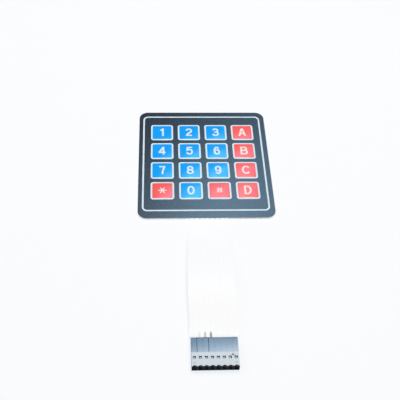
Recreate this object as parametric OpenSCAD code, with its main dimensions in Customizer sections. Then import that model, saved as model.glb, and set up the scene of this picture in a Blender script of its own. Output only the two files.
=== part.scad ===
// Matrix keypad: a printed overlay on a two-film membrane switch, whose flat
// tail is crimped into an eight-way socket housing.
// X runs across the keypad, +Y towards its top row of keys, +Z out of its face.
// The origin is the centre of the rear face. The housing rests on the same plane.

/* [Keypad outline] */
// Width of the keypad
keypad_w = 69; // [66:0.5:74]
// Height of the keypad, without its tail
keypad_h = 77; // [75:0.5:84]
// Radius of the keypad's corners
corner_r = 4.7; // [2:0.1:6]

/* [Layers] */
// Thickness of the peel-off paper behind the adhesive
liner_t = 0.08; // [0.06:0.01:0.12]
// Thickness of the adhesive that fixes the keypad to a panel
rear_adhesive_t = 0.1; // [0.05:0.01:0.15]
// Thickness of each circuit film
film_t = 0.13; // [0.1:0.01:0.18]
// Thickness of the spacer that holds the two films apart
spacer_t = 0.15; // [0.1:0.01:0.2]
// Thickness of the adhesive under the overlay
overlay_adhesive_t = 0.05; // [0.04:0.01:0.1]
// Thickness of the overlay film
overlay_t = 0.18; // [0.15:0.01:0.25]
// Thickness of the printed colours
print_t = 0.05; // [0.03:0.005:0.07]
// Thickness of the silver tracks
track_t = 0.03; // [0.02:0.005:0.05]

/* [Keys] */
// Distance between the columns of keys
pitch_x = 14.6; // [14:0.1:15.2]
// Distance between the rows of keys
pitch_y = 14.2; // [13.8:0.1:14.8]
// Width of a key, across its white frame
key_w = 12; // [11:0.1:12.6]
// Height of a key, across its white frame
key_h = 11.9; // [11:0.1:12.6]
// Outer corner radius of a key's white frame
key_r = 1.4; // [0.8:0.1:2]
// Width of the white frame's line
frame_line = 0.85; // [0.6:0.05:1.2]
// Inner corner radius of the white frame
field_r = 0.7; // [0.4:0.05:1]
// Height of a key's crown above the face
key_crown = 0.2; // [0.1:0.05:0.35]
// Distance of the key grid's centre above the keypad's centre
grid_up = 1.1; // [0:0.1:2]
// Sideways offset of the print against the films
print_shift = -0.2; // [-0.4:0.05:0.4]

/* [Border line] */
// Width of the border line
border_line = 0.85; // [0.6:0.05:1.2]
// Margin outside the border line at the sides
border_side = 2.3; // [2:0.1:3]
// Margin outside the border line at the top
border_top = 3.3; // [2.5:0.1:4]
// Margin outside the border line at the bottom
border_bottom = 4.6; // [4:0.1:6]
// Outer corner radius of the border line
border_r = 2.8; // [2:0.1:4]

/* [Membrane circuit] */
// Diameter of a contact pad
pad_d = 7.6; // [6:0.1:8]
// Diameter of a spacer hole over a contact pad
hole_d = 9; // [8.4:0.1:10]
// Width of a vent channel between two spacer holes
vent_w = 0.8; // [0.5:0.1:1.2]
// Width of a silver track
track_w = 0.7; // [0.5:0.05:0.9]
// Distance between neighbouring tracks beside the keys
track_pitch = 1.3; // [1.1:0.05:1.5]
// Distance of the outermost track from the keypad's edge
track_margin = 2.2; // [1.8:0.1:2.6]
// Distance that the adhesive's window stays inside a key's frame
window_inset = 0.8; // [0.5:0.1:1.2]

/* [Tail] */
// Length of the tail's span from the keypad's edge to the housing
tail_span = 69; // [60:0.5:90]
// Width of the tail at the keypad
tail_w = 20.4; // [20:0.1:21.2]
// Width of the tail at the housing
tail_end_w = 21.4; // [20.8:0.1:22]
// Length of the tail that leaves the keypad flat
tail_flat = 2; // [1:0.5:5]
// Height of the tail's free arch
tail_arch = 4.2; // [1:0.1:7]
// Width of the tongue that enters the housing
tongue_w = 19.4; // [19.1:0.05:19.6]
// Length of the tongue inside the housing
tongue_l = 6.2; // [5.8:0.1:6.4]
// Length of the gap between the tail's shoulders and the housing
shoulder_gap = 0.8; // [0.5:0.1:1.5]

/* [Socket housing] */
// Distance between neighbouring sockets
pin_pitch = 2.54; // [2.5:0.01:2.6]
// Length of the housing
housing_l = 14.5; // [14:0.1:15.5]
// Thickness of the housing at its front
housing_t = 3.5; // [3.4:0.05:3.8]
// Radius of the housing's long edges
edge_r = 0.35; // [0.2:0.05:0.5]
// Length of the raised front part of the housing's upper face
front_zone = 6.9; // [6.6:0.1:7.4]
// Height of the step behind the front part
zone_step = 0.1; // [0.05:0.01:0.2]
// Fall of the upper face from the step to the rear edge
rear_fall = 0.3; // [0.1:0.05:0.4]
// Depth of the grooves between the sockets in the rear part's upper face
groove_depth = 0.04; // [0.03:0.01:0.12]
// Radius of the grooves
groove_r = 0.25; // [0.2:0.05:0.4]
// Radius of the arched recess in front of each socket
recess_r = 1.15; // [1:0.05:1.2]
// Depth of the arched recess behind the front face
recess_depth = 0.75; // [0.5:0.05:0.9]
// Height of the lip under the arched recesses
recess_lip = 0.6; // [0.4:0.05:0.7]
// Width of the hole that a header pin enters
pin_hole = 0.95; // [0.85:0.05:1.1]
// Thickness of the wall in front of each contact
stop_wall = 0.45; // [0.3:0.05:0.6]
// Width and height of the cavity that holds a contact
cavity = 1.9; // [1.85:0.05:2]
// Thickness of the floor under the cavities
cavity_floor = 0.6; // [0.4:0.05:0.7]
// Width of the slot that the tail enters
slot_w = 19.7; // [19.65:0.05:19.8]
// Height of the slot that the tail enters
slot_h = 1.1; // [0.9:0.05:1.2]
// Distance of the latch windows behind the front face
window_back = 4.4; // [4.2:0.1:4.8]
// Width of a latch window
window_w = 1.4; // [1.2:0.1:1.6]
// Length of a latch window
window_l = 1.3; // [1:0.1:1.5]
// Side of the triangle that marks the end pin
mark_side = 1.3; // [1:0.1:1.4]
// Diameter of the two ejector dimples in the upper face
dimple_d = 1.1; // [0.8:0.1:1.4]
// Distance of the ejector dimples behind the front face
dimple_back = 1.5; // [1.3:0.1:2]
// Depth of the mark and the dimples
mark_depth = 0.12; // [0.06:0.01:0.2]

/* [Contacts] */
// Thickness of the contacts' sheet metal
metal_t = 0.2; // [0.15:0.01:0.25]
// Length of a contact's box
box_l = 5.6; // [5:0.1:6]
// Clearance between a contact's box and its cavity
box_clearance = 0.05; // [0.03:0.01:0.08]
// Width of the strip between a contact's box and its crimp
strip_w = 1.1; // [0.9:0.05:1.3]
// Length of the crimp along the tail
crimp_l = 3; // [2.4:0.1:3.4]
// Distance of the crimp's rear end inside the housing
crimp_back = 1; // [0.6:0.1:1.4]
// Distance between a crimp's two tines, inside
tine_gap = 1; // [0.9:0.05:1.1]
// Width of each tine's folded end on top of the tail
fold_w = 0.35; // [0.2:0.05:0.4]
// Clearance round a tine in the films
tine_clearance = 0.02; // [0.01:0.005:0.04]
// Width of a contact's latch
latch_w = 0.8; // [0.6:0.1:1]
// Height of a contact's latch above its box
latch_h = 0.55; // [0.3:0.05:0.7]
// Side of the square header pin that a contact grips
pin_side = 0.64; // [0.6:0.01:0.66]
// Width of the two springs inside a contact's box
spring_w = 0.9; // [0.7:0.05:1.1]
// Length of each spring
spring_l = 3.6; // [3:0.1:4]

/* [Hidden] */
COLUMNS = 4;
ROWS = 4;
PINS = COLUMNS + ROWS;

// Facets of a small circle, of a key's crown and of the crown's large circle
ROUND_FN = 48;
CROWN_FN = 96;
CROWN_ARC_FN = 2400;
// Steps along the curved tail, and the power that skews its arch towards the housing
TAIL_STEPS = 40;
ARCH_SKEW = 1.2;
// Length of the tail's root inside the keypad's outline
TAIL_ROOT = 1;
// Part of the curved tail, from the keypad, over which it widens
TAIL_FLARE = 0.6;
// Overshoot of a cutting solid
CUT = 1;
// Height that clears every layer and the housing
TALL = 20;

// Levels of the stack, from the rear face up
films_z = liner_t + rear_adhesive_t;
lower_top = film_t;
spacer_top = lower_top + spacer_t;
upper_top = spacer_top + film_t;
adhesive_top = films_z + upper_top;
overlay_z = adhesive_top + overlay_adhesive_t;
face_z = overlay_z + overlay_t;

// Crown of a key, as part of a large sphere that meets the face at the key's corners
crown_reach = norm([key_w / 2 - key_r, key_h / 2 - key_r]) + key_r;
crown_r = (crown_reach * crown_reach + key_crown * key_crown) / (2 * key_crown);

// Housing and tongue along Y, and the film's level inside the housing
housing_w = PINS * pin_pitch;
rear_y = -keypad_h / 2 - tail_span;
curve_y = -keypad_h / 2 - tail_flat;
curve_l = curve_y - rear_y;
front_y = rear_y - housing_l;
tongue_y = rear_y - tongue_l;
shoulder_y = rear_y + shoulder_gap;
slot_z = cavity_floor + (cavity - slot_h) / 2;
tongue_z = slot_z + (slot_h - upper_top) / 2;
cavity_back = recess_depth + stop_wall;
crimp_y = rear_y - crimp_back - crimp_l;

// Contact box: its width and its place behind the housing's front face
box_w = cavity - 2 * box_clearance;
box_y = cavity_back + box_clearance;

// Blue keys carry the numbers; the letters, the star and the hash are red
function is_red(c, r) = c == COLUMNS - 1 || (r == ROWS - 1 && (c == 0 || c == 2));
function key_x(c) = (c - (COLUMNS - 1) / 2) * pitch_x;
function key_y(r) = grid_up - (r - (ROWS - 1) / 2) * pitch_y;
function pin_x(i) = (i - (PINS + 1) / 2) * pin_pitch;

// Rise and slope of the tail's underside at t, from 0 where it leaves the flat
// stretch to 1 at the housing
function tail_rise(t) = films_z + (tongue_z - films_z) * t * t * (3 - 2 * t)
    + tail_arch * (1 - cos(360 * pow(t, ARCH_SKEW))) / 2;
function tail_slope(t) = ((tongue_z - films_z) * 6 * t * (1 - t)
    + tail_arch * PI * ARCH_SKEW * pow(t, ARCH_SKEW - 1) * sin(360 * pow(t, ARCH_SKEW))) / curve_l;
// Point at a distance d above the tail's underside, square to it
function tail_point(t, d) = let (m = tail_slope(t), n = sqrt(1 + m * m))
    [curve_y - t * curve_l + d * m / n, tail_rise(t) + d / n];
function tail_side(d) = [for (i = [0:TAIL_STEPS]) tail_point(i / TAIL_STEPS, d)];
function reversed(list) = [for (i = [len(list) - 1:-1:0]) list[i]];

module rounded(w, h, r) {
    square([w, h - 2 * r], center = true);
    square([w - 2 * r, h], center = true);
    for (x = [-1, 1], y = [-1, 1])
        translate([x * (w / 2 - r), y * (h / 2 - r)]) circle(r, $fn = ROUND_FN);
}

module keypad_plan() {
    rounded(keypad_w, keypad_h, corner_r);
}

module slab(z, t) {
    translate([0, 0, z]) linear_extrude(t) children();
}

// Straight run of a track from point a to point b, both on one line along X or Y
module run(a, b, w) {
    low = [min(a[0], b[0]) - w / 2, min(a[1], b[1]) - w / 2];
    high = [max(a[0], b[0]) + w / 2, max(a[1], b[1]) + w / 2];
    translate(low) square(high - low);
}

module runs(points, w) {
    for (i = [1:len(points) - 1]) run(points[i - 1], points[i], w);
}

module at_keys() {
    for (c = [0:COLUMNS - 1], r = [0:ROWS - 1])
        translate([key_x(c), key_y(r)]) children();
}

// Flat outline of the tail, from its root in the keypad: flared, with shoulders
// before the housing and a slit tongue inside it
module tail_plan() {
    root_y = -keypad_h / 2 + TAIL_ROOT;
    flare_y = curve_y - TAIL_FLARE * curve_l;
    half = [[tail_w / 2, root_y], [tail_w / 2, curve_y], [tail_end_w / 2, flare_y],
            [tail_end_w / 2, shoulder_y], [tongue_w / 2, shoulder_y], [tongue_w / 2, tongue_y]];
    difference() {
        polygon(concat(half, [for (p = reversed(half)) [-p[0], p[1]]]));
        tine_slits();
    }
}

module tine_slits() {
    slit = metal_t + 2 * tine_clearance;
    for (i = [1:PINS], side = [-1, 1])
        translate([pin_x(i) + side * (tine_gap + metal_t) / 2, crimp_y + crimp_l / 2])
            square([slit, crimp_l + 2 * tine_clearance], center = true);
}

// Part of the films' stack between distances d0 and d1 above its underside:
// flat in the keypad, arched along the tail and flat again in the housing
module stack(d0, d1) {
    half_w = keypad_w / 2 + CUT;
    top_y = keypad_h / 2 + CUT;
    outline = concat([[top_y, films_z + d0]], tail_side(d0),
                     [[tongue_y - CUT, tongue_z + d0], [tongue_y - CUT, tongue_z + d1]],
                     reversed(tail_side(d1)), [[top_y, films_z + d1]]);
    intersection() {
        translate([-half_w, 0, 0]) rotate([90, 0, 90]) linear_extrude(2 * half_w) polygon(outline);
        slab(0, TALL) children();
    }
}

// Layer of the stack with a tail of its own
module tailed(d0, d1) {
    stack(d0, d1) children();
    stack(d0, d1) tail_plan();
}

// Columns: each joins the pads below it and runs to one of the right-hand pins
module column_plan() {
    turn_y = key_y(ROWS - 1) - hole_d / 2 - track_pitch;
    difference() {
        for (c = [0:COLUMNS - 1]) {
            x = key_x(c);
            pin = pin_x(ROWS + 1 + c);
            level = turn_y - (pin > x ? (COLUMNS / 2 - c) * track_pitch : 0);
            for (r = [0:ROWS - 1]) translate([x, key_y(r)]) circle(d = pad_d, $fn = ROUND_FN);
            runs([[x, key_y(0)], [x, level], [pin, level], [pin, tongue_y]], track_w);
            run([pin, rear_y], [pin, tongue_y], tine_gap + 2 * metal_t);
        }
        tine_slits();
    }
}

// Rows: each leaves its pads to the left, runs down beside the keys and to a left-hand pin
module row_plan() {
    turn_y = key_y(ROWS - 1) - hole_d / 2 - track_pitch;
    difference() {
        for (r = [0:ROWS - 1]) {
            y = key_y(r);
            pin = pin_x(1 + r);
            side = -keypad_w / 2 + track_margin + r * track_pitch;
            level = turn_y - (ROWS - 1 - r) * track_pitch;
            for (c = [0:COLUMNS - 1]) translate([key_x(c), y]) circle(d = pad_d, $fn = ROUND_FN);
            runs([[key_x(COLUMNS - 1), y], [side, y], [side, level], [pin, level], [pin, tongue_y]],
                 track_w);
            run([pin, rear_y], [pin, tongue_y], tine_gap + 2 * metal_t);
        }
        tine_slits();
    }
}

module vent_plan() {
    for (r = [0:ROWS - 1])
        run([key_x(0), key_y(r)], [key_x(COLUMNS - 1), key_y(r)], vent_w);
    run([0, key_y(0)], [0, key_y(ROWS - 1)], vent_w);
}

// Solid of revolution under a key's crown, let down by a distance below the surface
module crown(below) {
    translate([0, 0, face_z])
        rotate_extrude($fn = CROWN_FN)
            intersection() {
                translate([0, key_crown - crown_r]) circle(crown_r - below, $fn = CROWN_ARC_FN);
                translate([0, -overlay_t - CUT]) square([crown_reach + CUT, overlay_t + 2 * CUT]);
            }
}

// Shell that follows the crown between two distances below its surface
module crown_shell(from, to) {
    intersection() {
        difference() {
            crown(from);
            crown(to);
        }
        slab(films_z, TALL) children();
    }
}

module key_plan() {
    rounded(key_w, key_h, key_r);
}

module field_plan() {
    rounded(key_w - 2 * frame_line, key_h - 2 * frame_line, field_r);
}

module border_plan() {
    w = keypad_w - 2 * border_side;
    h = keypad_h - border_top - border_bottom;
    translate([print_shift, (border_bottom - border_top) / 2])
        difference() {
            rounded(w, h, border_r);
            rounded(w - 2 * border_line, h - 2 * border_line, border_r - border_line);
        }
}

module release_liner() color("ivory") slab(0, liner_t) keypad_plan();

module rear_adhesive() color("khaki") slab(liner_t, rear_adhesive_t) keypad_plan();

module lower_circuit_film() color("whitesmoke")
    difference() {
        tailed(0, lower_top) keypad_plan();
        stack(lower_top - track_t, lower_top + track_t) column_plan();
    }

module column_tracks() color("silver") stack(lower_top - track_t, lower_top) column_plan();

module circuit_spacer() color("white")
    tailed(lower_top, spacer_top)
        difference() {
            keypad_plan();
            at_keys() circle(d = hole_d, $fn = ROUND_FN);
            vent_plan();
        }

module row_tracks() color("silver") stack(spacer_top, spacer_top + track_t) row_plan();

module upper_circuit_film() color("whitesmoke")
    difference() {
        tailed(spacer_top, upper_top) keypad_plan();
        stack(spacer_top - track_t, spacer_top + track_t) row_plan();
    }

module overlay_adhesive() color("gainsboro")
    slab(adhesive_top, overlay_adhesive_t)
        difference() {
            keypad_plan();
            translate([print_shift, 0]) at_keys()
                rounded(key_w - 2 * window_inset, key_h - 2 * window_inset, key_r);
        }

module overlay_film() color([0.22, 0.29, 0.35]) {
    difference() {
        slab(overlay_z, overlay_t) keypad_plan();
        slab(overlay_z - CUT, overlay_t + 2 * CUT) translate([print_shift, 0]) at_keys() key_plan();
        slab(face_z - print_t, print_t + CUT) border_plan();
    }
    translate([print_shift, 0, 0]) at_keys() crown_shell(print_t, overlay_t) key_plan();
}

module border_line() color("aliceblue") slab(face_z - print_t, print_t) border_plan();

module key_frames() color("aliceblue")
    translate([print_shift, 0, 0]) at_keys()
        crown_shell(0, print_t) difference() {
            key_plan();
            field_plan();
        }

module fields(red) {
    for (c = [0:COLUMNS - 1], r = [0:ROWS - 1])
        if (is_red(c, r) == red)
            translate([key_x(c) + print_shift, key_y(r), 0]) crown_shell(0, print_t) field_plan();
}

module blue_key_fields() color([0.13, 0.64, 0.96]) fields(false);

module red_key_fields() color([0.98, 0.44, 0.45]) fields(true);

// Side view of the housing, from its front face back: rounded long edges, a
// raised front part and a rear part that falls towards the tail
module housing_side() {
    rear_t = housing_t - zone_step - rear_fall;
    difference() {
        polygon([[0, 0], [housing_l, 0], [housing_l, rear_t], [front_zone, housing_t - zone_step],
                 [front_zone, housing_t], [0, housing_t]]);
        for (corner = [[0, 0, 0], [housing_l, 0, 90], [housing_l, rear_t, 180], [0, housing_t, 270]])
            translate([corner[0], corner[1]]) rotate(corner[2]) edge_cut();
    }
}

// Corner of a square outside its inscribed round
module edge_cut() {
    difference() {
        translate([-CUT, -CUT]) square(CUT + edge_r);
        translate([edge_r, edge_r]) circle(edge_r, $fn = ROUND_FN);
    }
}

module at_pins() {
    for (i = [1:PINS]) translate([pin_x(i), 0, 0]) children();
}

// Everything in the housing is placed from the middle of its front face
module from_front() {
    translate([0, front_y, 0]) children();
}

module socket_housing() color([0.09, 0.09, 0.1])
    from_front() difference() {
        translate([-housing_w / 2, 0, 0]) rotate([90, 0, 90]) linear_extrude(housing_w) housing_side();
        at_pins() {
            cavity_cut();
            recess_cut();
            window_cut();
        }
        translate([-slot_w / 2, housing_l - tongue_l - CUT / 2, slot_z])
            cube([slot_w, tongue_l + 2 * CUT, slot_h]);
        groove_cuts();
        marks_cut();
    }

module cavity_cut() {
    translate([-cavity / 2, cavity_back, cavity_floor]) cube([cavity, housing_l, cavity]);
    translate([-pin_hole / 2, 0, cavity_floor + (cavity - pin_hole) / 2])
        cube([pin_hole, cavity_back + CUT, pin_hole]);
}

// Arched recess in the front face, open at the top, that guides a pin in
module recess_cut() {
    translate([0, recess_depth - recess_r, recess_lip]) cylinder(h = TALL, r = recess_r, $fn = ROUND_FN);
}

module window_cut() {
    translate([-window_w / 2, window_back - window_l / 2, cavity_floor + cavity / 2])
        cube([window_w, window_l, TALL]);
}

module groove_cuts() {
    angle = atan(rear_fall / (housing_l - front_zone));
    for (i = [1:PINS - 1])
        translate([(pin_x(i) + pin_x(i + 1)) / 2, front_zone, housing_t - zone_step])
            rotate([-90 - angle, 0, 0])
                translate([0, groove_depth - groove_r, 0])
                    cylinder(h = housing_l - front_zone + CUT, r = groove_r, $fn = ROUND_FN);
}

// Triangle between the end pin's window and the step, and the two dimples
module marks_cut() {
    mark_back = (window_back + window_l / 2 + front_zone) / 2;
    translate([(pin_x(PINS - 1) + pin_x(PINS)) / 2, mark_back, housing_t - mark_depth])
        linear_extrude(TALL) polygon([[-mark_side / 2, -mark_side / 2], [mark_side / 2, -mark_side / 2],
                                      [0, mark_side / 2]]);
    for (x = [pin_x(1), pin_x(PINS)])
        translate([x, dimple_back, housing_t - mark_depth])
            cylinder(h = TALL, d = dimple_d, $fn = ROUND_FN);
}

// Contact: a box with two springs that grip a header pin, a latch on its roof, a
// strip and a crimp whose two tines pierce the tail and fold over it
module contact(i) color("gold")
    translate([pin_x(i), front_y, 0]) {
        contact_box();
        contact_springs();
        contact_strip();
        contact_crimp();
    }

module contact_box() {
    difference() {
        translate([-box_w / 2, box_y, cavity_floor]) cube([box_w, box_l, box_w]);
        translate([-box_w / 2 + metal_t, box_y - CUT, cavity_floor + metal_t])
            cube([box_w - 2 * metal_t, box_l + 2 * CUT, box_w - 2 * metal_t]);
    }
    latch_l = window_l - 2 * box_clearance;
    latch_z = cavity_floor + box_w - metal_t / 2;
    translate([-latch_w / 2, window_back - latch_l / 2, latch_z])
        rotate([90, 0, 90]) linear_extrude(latch_w)
            polygon([[0, 0], [latch_l, 0], [latch_l, latch_h + metal_t / 2],
                     [latch_l - metal_t, latch_h + metal_t / 2], [0, metal_t / 2]]);
}

// Arched springs that rise from the box's floor and hang from its roof to the pin
module contact_springs() {
    pin_z = cavity_floor + cavity / 2;
    spring(cavity_floor + metal_t / 2, pin_z - pin_side / 2, 1);
    spring(cavity_floor + box_w - metal_t / 2, pin_z + pin_side / 2, -1);
}

// One spring from the level of its feet to its crest, up (side 1) or down (side -1)
module spring(foot, crest, side) {
    start = box_y + (box_l - spring_l) / 2;
    finish = start + spring_l;
    ramp = spring_l / 3;
    under = crest - side * metal_t;
    translate([-spring_w / 2, 0, 0])
        rotate([90, 0, 90]) linear_extrude(spring_w)
            polygon([[start, foot], [start + metal_t, foot], [start + ramp + metal_t, under],
                     [finish - ramp - metal_t, under], [finish - metal_t, foot], [finish, foot],
                     [finish - ramp, crest], [start + ramp, crest]]);
}

// Side view of the strip: along the cavity's floor, then up to the tail's underside
module contact_strip() {
    start = box_y + box_l - metal_t;
    finish = crimp_y - front_y + metal_t;
    low = cavity_floor;
    high = tongue_z - metal_t;
    translate([-strip_w / 2, 0, 0])
        rotate([90, 0, 90]) linear_extrude(strip_w)
            polygon([[start, low], [start + 2 * metal_t, low], [finish - metal_t, high], [finish, high],
                     [finish, high + metal_t], [finish - 2 * metal_t, high + metal_t],
                     [start + metal_t, low + metal_t], [start, low + metal_t]]);
}

// Front view of the crimp: a base under the tail, two tines and their folded ends
module contact_crimp() {
    base_z = tongue_z - metal_t;
    fold_z = tongue_z + upper_top;
    translate([0, crimp_y - front_y + crimp_l, 0])
        rotate([90, 0, 0]) linear_extrude(crimp_l) {
            translate([-tine_gap / 2 - metal_t, base_z]) square([tine_gap + 2 * metal_t, metal_t]);
            for (side = [-1, 1]) {
                translate([side * (tine_gap + metal_t) / 2, (base_z + fold_z + metal_t) / 2])
                    square([metal_t, fold_z + metal_t - base_z], center = true);
                translate([side * (tine_gap + metal_t - fold_w) / 2, fold_z + metal_t / 2])
                    square([fold_w + metal_t, metal_t], center = true);
            }
        }
}

release_liner();
rear_adhesive();
lower_circuit_film();
column_tracks();
circuit_spacer();
row_tracks();
upper_circuit_film();
overlay_adhesive();
overlay_film();
border_line();
key_frames();
blue_key_fields();
red_key_fields();
socket_housing();
for (i = [1:PINS])
    contact(i);
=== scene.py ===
# %% [markdown]
# # A matrix keypad: thin printed film, sixteen crowned keys, a flat tail and a socket housing
#
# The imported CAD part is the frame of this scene. It gives every piece its place and its real size.
# What follows gives the pieces the surfaces of the real product: textured film, printed ink, milky
# circuit film and glossy moulded plastic.
#
# All lengths are metres in Blender. Values that a maker would quote in millimetres are written as a
# number times MM. Places inside the materials and the strokes of the legends are plain millimetres.

# %% Load the frame
from math import cos, pi, radians, sin, sqrt

import bmesh
import bpy
import numpy as np
from mathutils import Matrix, Vector


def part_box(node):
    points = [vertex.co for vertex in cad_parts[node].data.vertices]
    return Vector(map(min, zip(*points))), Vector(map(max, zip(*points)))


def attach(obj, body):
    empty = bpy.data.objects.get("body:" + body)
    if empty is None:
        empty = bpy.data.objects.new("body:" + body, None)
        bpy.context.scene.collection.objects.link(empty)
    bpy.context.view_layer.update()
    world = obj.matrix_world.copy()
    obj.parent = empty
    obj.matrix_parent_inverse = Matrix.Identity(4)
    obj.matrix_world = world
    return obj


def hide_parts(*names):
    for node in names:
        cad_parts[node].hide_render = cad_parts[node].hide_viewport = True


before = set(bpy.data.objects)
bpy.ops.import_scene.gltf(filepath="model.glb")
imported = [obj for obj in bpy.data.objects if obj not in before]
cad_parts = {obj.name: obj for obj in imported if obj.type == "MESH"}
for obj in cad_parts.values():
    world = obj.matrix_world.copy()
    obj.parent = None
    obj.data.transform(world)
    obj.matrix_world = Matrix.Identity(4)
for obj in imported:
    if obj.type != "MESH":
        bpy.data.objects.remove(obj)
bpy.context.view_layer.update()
MM = 0.001

# %% [markdown]
# ## Camera
#
# The camera stands where the photograph was taken from. Its place, its tilt and its lens were found
# by matching the outline, the border line and the sixteen frames. A camera looks along its own -Z,
# so the columns of its matrix are its right, its up and the reverse of the line of sight.

# %% Camera
IMAGE_SIDE = 400
SENSOR_WIDTH = 36.0
FOCAL_PIXELS = 761.12
EYE = Vector((-21.9, -279.54, 289.6)) * MM
YAW, PITCH, ROLL = radians(4.24), radians(48.715), radians(-2.884)
CLIP_START, CLIP_END = 0.01, 30


def camera_matrix(eye, yaw, pitch, roll):
    """Line of sight: sin and cos of the yaw times cos of the pitch, and minus sin of the pitch.
    Right lies level and square to it, down is their cross product, and the roll turns those two."""
    sight = Vector((sin(yaw) * cos(pitch), cos(yaw) * cos(pitch), -sin(pitch)))
    level = Vector((cos(yaw), -sin(yaw), 0))
    down = sight.cross(level)
    right = level * cos(roll) + down * sin(roll)
    up = level * sin(roll) - down * cos(roll)
    turn = Matrix((right, up, -sight)).transposed()
    return Matrix.Translation(eye) @ turn.to_4x4()


lens = bpy.data.cameras.new("camera")
lens.sensor_width = SENSOR_WIDTH
lens.lens = FOCAL_PIXELS * SENSOR_WIDTH / IMAGE_SIDE
lens.clip_start, lens.clip_end = CLIP_START, CLIP_END
camera = bpy.data.objects.new("camera", lens)
camera.matrix_world = camera_matrix(EYE, YAW, PITCH, ROLL)
bpy.context.scene.collection.objects.link(camera)
bpy.context.scene.camera = camera
bpy.context.scene.view_settings.view_transform = "Standard"
print("lens in mm:", round(lens.lens, 2))

# %% [markdown]
# ## Shader maths
#
# A material is a graph of nodes. Writing the graph by hand takes a line for each node and a line for
# each link, and the formula gets lost. So one small class wraps an output socket and overloads the
# operators: `1 - mask * 0.3` then adds the two Math nodes by itself. Every other node comes from one
# method of `Graph`, which takes the node's type, its settings and the values of its sockets. Colours
# are blended by a Mix node, because a Math node would turn them grey.

# %% Socket arithmetic
class Socket:
    """An output in a node tree that can be used in arithmetic."""

    def __init__(self, graph, out):
        self.graph, self.out = graph, out

    def maths(self, operation, *values):
        """Math node of the given operation on sockets or plain numbers."""
        return self.graph.node("Math", dict(operation=operation), *values)

    def __add__(self, other):
        return self.maths("ADD", self, other)

    def __sub__(self, other):
        return self.maths("SUBTRACT", self, other)

    def __rsub__(self, other):
        return self.maths("SUBTRACT", other, self)

    def __mul__(self, other):
        return self.maths("MULTIPLY", self, other)

    def __truediv__(self, other):
        return self.maths("DIVIDE", self, other)

    def __abs__(self):
        return self.maths("ABSOLUTE", self)

    def step(self, low, high):
        """0 below low, 1 above high and a smooth ramp between them. With low above high it falls."""
        return self.graph.node("MapRange", dict(interpolation_type="SMOOTHSTEP"), self, low, high)

    __radd__, __rmul__ = __add__, __mul__


def in_use(sockets):
    """Sockets by position and by name, without those that the node's settings switch off."""
    used = [socket for socket in sockets if socket.enabled]
    return dict(enumerate(used)) | {socket.name: socket for socket in reversed(used)}


class Graph:
    """The emptied node tree of a material, a lamp or the world, and the method that adds nodes."""

    def __init__(self, owner):
        owner.use_nodes = True
        self.tree = owner.node_tree
        self.tree.nodes.clear()

    def node(self, kind, settings=None, *values, out=0, **named):
        """Node of a type: settings first, then values by position or by socket name."""
        made = self.tree.nodes.new("ShaderNode" + kind)
        for key, value in (settings or {}).items():
            setattr(made, key, value)
        inputs, outputs = in_use(made.inputs), in_use(made.outputs)
        named = {key.replace("_", " "): value for key, value in named.items()}
        for key, value in [*enumerate(values), *named.items()]:
            if isinstance(value, Socket):
                self.tree.links.new(value.out, inputs[key])
            else:
                inputs[key].default_value = value
        return Socket(self, outputs[out]) if outputs else None

    def blend(self, factor, first, second):
        """Colour that goes from the first to the second with the factor."""
        return self.node("Mix", dict(data_type="RGBA"), factor, first, second)


class Finish(Graph):
    """A material in the making, and the point on the surface in Object coordinates."""

    def __init__(self, name):
        self.material = bpy.data.materials.new(name)
        super().__init__(self.material)
        self.point = self.node("TexCoord", out="Object")

    def axis(self, letter):
        """One coordinate of the point on the surface, in millimetres."""
        return self.node("SeparateXYZ", None, self.point, out=letter) * (1 / MM)

    def noise(self, grain, detail=2.0, stretch=(1, 1, 1)):
        """Noise from 0 to 1 with patches of about the grain's size, in metres."""
        place = self.node("Mapping", None, self.point, Scale=stretch)
        return self.node("TexNoise", None, Vector=place, Scale=1 / grain, Detail=detail, out="Fac")

    def bump(self, height, depth, strength=1.0):
        """Normal of a surface whose relief is the height, from 0 to 1, times the depth in metres."""
        return self.node("Bump", None, Strength=strength, Distance=depth, Height=height)

    def surface(self, shader):
        """Makes a shader the material's surface and gives the material back."""
        self.node("OutputMaterial", None, shader)
        return self.material


def rgb(red, green, blue):
    """Colour with full alpha from three linear parts."""
    return (red, green, blue, 1.0)


print("socket operators ready")

# %% [markdown]
# ## Floor, light and background
#
# The photograph is a bright product shot with pale surroundings. Four soft panels make it here:
#
# - The main panel hangs over the table behind the keypad. It lights the colours evenly, and its mirror
#   image is the bright front half of the housing.
# - The sky panel starts at the main panel's far edge and is graded. Its mirror image gives the film its
#   sheen, which grows towards the near right corner, and the housing's rear half its slope of grey.
# - The left panel throws the soft shadow to the right.
# - The front panel is a weak fill for the tail and the housing's front face.
#
# A camera ray that misses the floor sees a pale sky, and every other ray a dim one.

# %% Lights
def panel(name, place, aim, width, depth, radiance, colour, spin=0.0):
    """Rectangular soft light at place, turned to aim and spun about its own axis. A panel of radiance
    L and area A has power pi L A."""
    data = bpy.data.lights.new(name, "AREA")
    data.shape, data.size, data.size_y = "RECTANGLE", width, depth
    data.energy = pi * radiance * width * depth
    data.color = colour
    light = bpy.data.objects.new(name, data)
    place, aim = Vector(place), Vector(aim)
    turn = (aim - place).to_track_quat("-Z", "Y").to_matrix().to_4x4()
    light.matrix_world = Matrix.Translation(place) @ turn @ Matrix.Rotation(spin, 4, "Z")
    light.visible_camera = False
    bpy.context.scene.collection.objects.link(light)
    return light


# The main panel's far edge: its middle, its slant, and the directions along it and past it.
EDGE = Vector((0.0616, 0.4315))
SLANT = radians(8)
ALONG, PAST = Vector((cos(SLANT), sin(SLANT))), Vector((-sin(SLANT), cos(SLANT)))
PANEL_Z = 0.8
MAIN_W, MAIN_DEPTH = 0.26, 0.557
SKY_W, SKY_DEPTH, SKY_SHIFT = 0.6, 0.52, 0.04


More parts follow.
